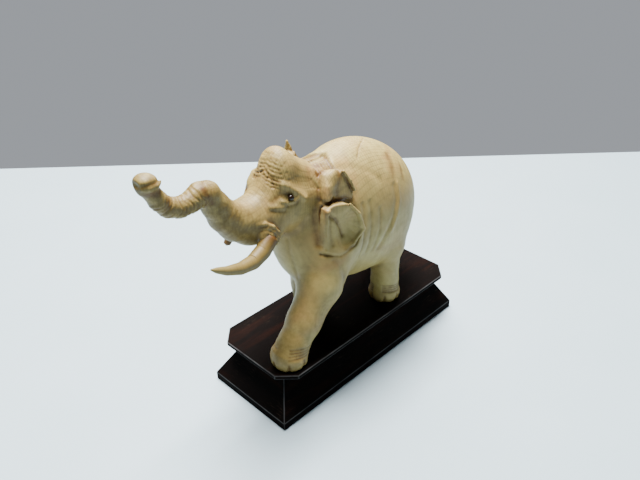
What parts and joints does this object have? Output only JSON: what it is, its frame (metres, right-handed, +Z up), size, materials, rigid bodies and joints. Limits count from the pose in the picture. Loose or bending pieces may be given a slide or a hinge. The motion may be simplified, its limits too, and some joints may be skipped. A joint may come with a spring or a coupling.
{
  "type": "carved elephant figurine",
  "caption": "Small carved elephant striding with raised trunk, set with tusks and bead eyes and pegged to a dark hardwood stand.",
  "frame": {"origin": "centre of the stand's underside, on the surface that it stands on", "axes": "+Z up; +X is the long axis, with the elephant facing -X; its left side is -Y"},
  "size_m": [0.13, 0.0388, 0.1042],
  "materials": {
    "polished_carving": "cream, close-grained and hand-polished, with brown patina left in the cuts",
    "tusk": "cream, polished, with amber patina towards the root",
    "eye_bead": "glossy dark brown bead",
    "peg_wood": "turned, unfinished",
    "stand_board_wood": "near-black hardwood, polished, edges worn",
    "plinth_wood": "near-black hardwood with reddish-brown grain, polished"
  },
  "bodies": {
    "root": {"elephant_carving": "polished_carving", "tusk_left": "tusk", "tusk_right": "tusk", "eye_left": "eye_bead", "eye_right": "eye_bead", "foot_peg_front_left": "peg_wood", "foot_peg_front_right": "peg_wood", "foot_peg_hind_left": "peg_wood", "foot_peg_hind_right": "peg_wood", "stand_top_board": "stand_board_wood", "plinth_left_rail": "plinth_wood", "plinth_right_rail": "plinth_wood", "plinth_front_rail": "plinth_wood", "plinth_rear_rail": "plinth_wood"}
  },
  "joints": []
}
